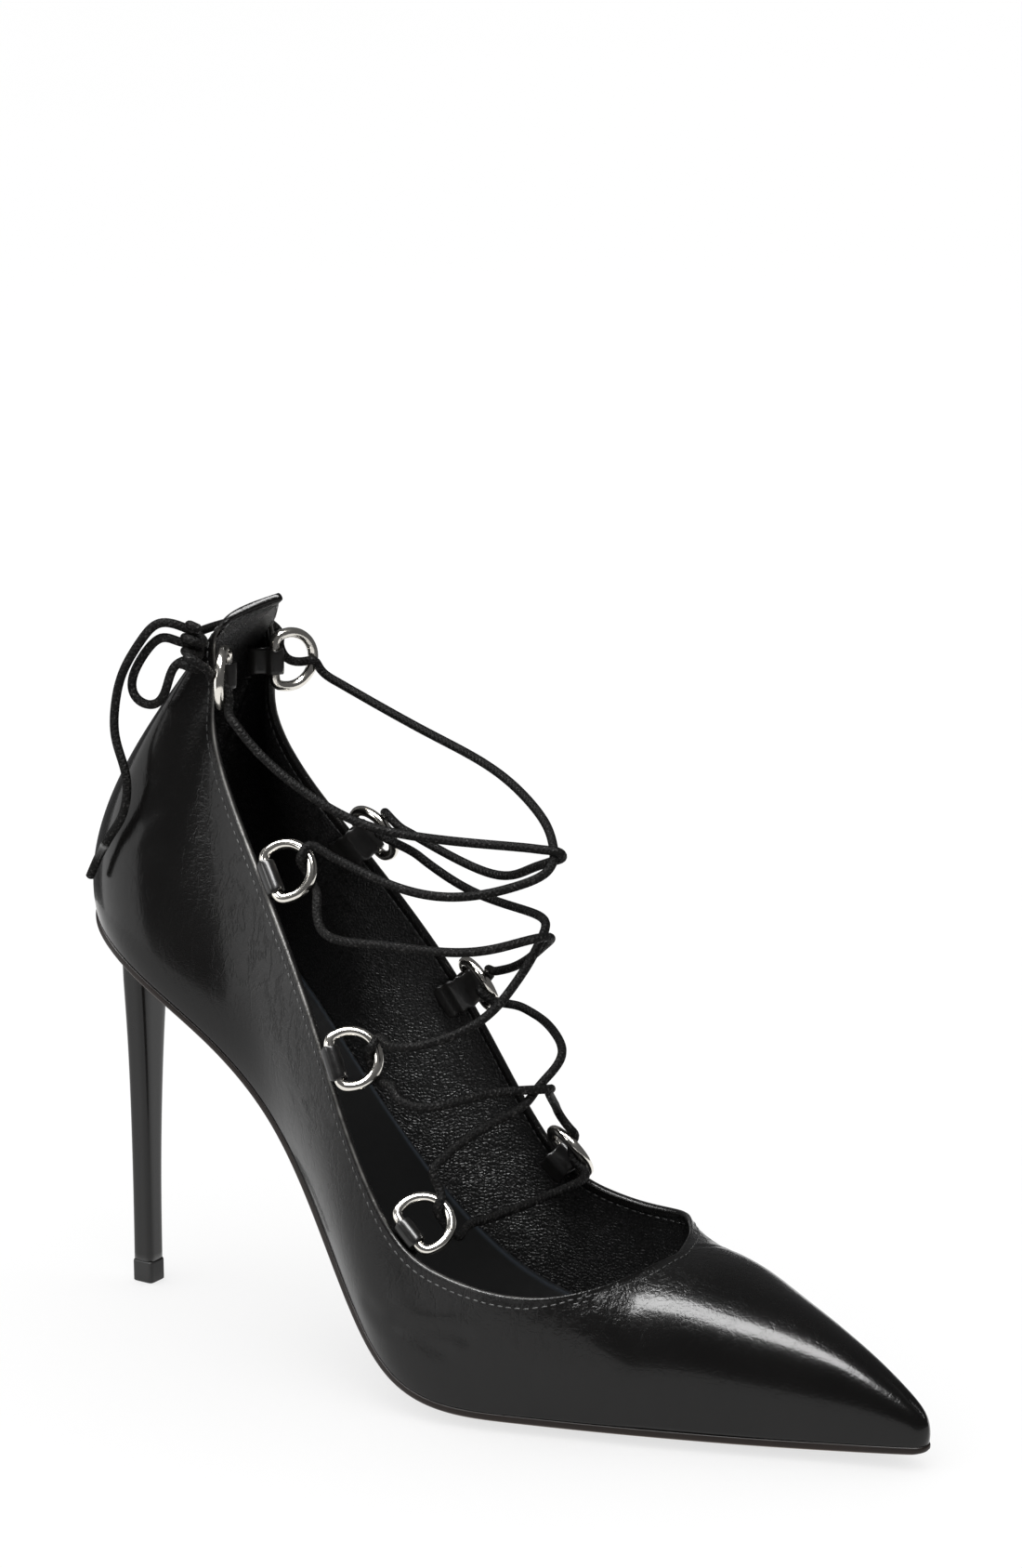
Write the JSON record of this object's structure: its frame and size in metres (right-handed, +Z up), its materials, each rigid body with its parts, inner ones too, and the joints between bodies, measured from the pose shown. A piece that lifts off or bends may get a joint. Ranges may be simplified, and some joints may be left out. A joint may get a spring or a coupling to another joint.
{
  "type": "lace up heel",
  "caption": "Pointed lace up pump on a stiletto heel: hollow leather upper open at throat and collar, D rings on leather tabs, and a cord lace crossing over the instep to a bow at the back",
  "frame": {"origin": "centre of the heel tip's underside, on the floor", "axes": "+X runs from the heel to the toe, +Y is the inner side of the foot, +Z is up"},
  "size_m": [0.2249, 0.0771, 0.1763],
  "materials": {
    "upper": "glossy crinkled calf",
    "insole": "smooth",
    "outsole": "satin",
    "heel": "glossy covered heel",
    "top_lift": "matte",
    "ring": "polished",
    "tab": "glossy",
    "lace": "waxed braided cord"
  },
  "bodies": {
    "root": {"upper": "upper", "insole": "insole", "outsole": "outsole", "heel": "heel", "top_lift": "top_lift", "ring_near_1": "ring", "ring_tab_near_1": "tab", "ring_near_2": "ring", "ring_tab_near_2": "tab", "ring_near_3": "ring", "ring_tab_near_3": "tab", "ring_near_4": "ring", "ring_tab_near_4": "tab", "ring_far_1": "ring", "ring_tab_far_1": "tab", "ring_far_2": "ring", "ring_tab_far_2": "tab", "ring_far_3": "ring", "ring_tab_far_3": "tab", "ring_far_4": "ring", "ring_tab_far_4": "tab", "lace_bar": "lace", "lace_cross_1": "lace", "lace_cross_2": "lace", "lace_cross_3": "lace", "lace_knot": "lace", "lace_lead_near": "lace", "lace_lead_far": "lace", "lace_loop": "lace", "lace_end": "lace"}
  },
  "joints": []
}
